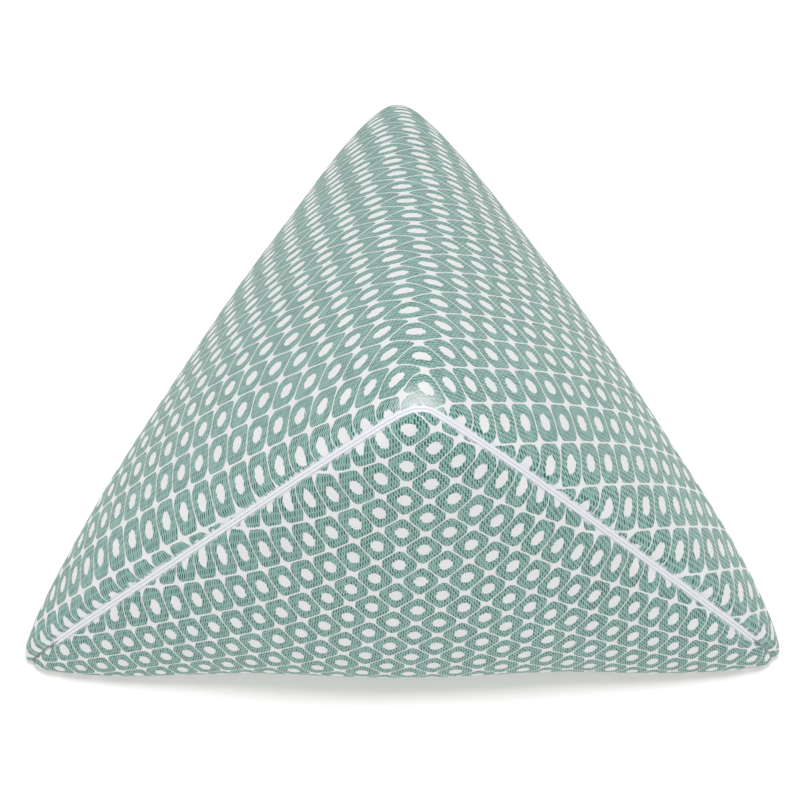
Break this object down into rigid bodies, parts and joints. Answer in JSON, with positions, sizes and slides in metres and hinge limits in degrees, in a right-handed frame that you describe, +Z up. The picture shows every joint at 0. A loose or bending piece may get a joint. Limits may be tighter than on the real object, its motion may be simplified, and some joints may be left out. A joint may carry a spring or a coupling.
{
  "type": "pyramid throw pillow",
  "caption": "Stuffed pyramid throw pillow in a woven ring pattern, its hidden zip running over the raised corner, lying on its back face.",
  "frame": {"origin": "on the surface that the pillow lies on, under the middle of its extent", "axes": "+X across the front face from the left corner to the right one, +Y towards the far corner, +Z up through the raised corner"},
  "size_m": [0.4808, 0.3814, 0.3731],
  "materials": {
    "patterned_cloth": "woven sea green rings on an off-white ground, matt with a slight sheen",
    "zip_tape": "smooth white zip tape, rolled at its edge"
  },
  "bodies": {
    "root": {"pillow": "patterned_cloth", "zip_lip_front": "zip_tape", "zip_lip_top": "zip_tape"}
  },
  "joints": []
}
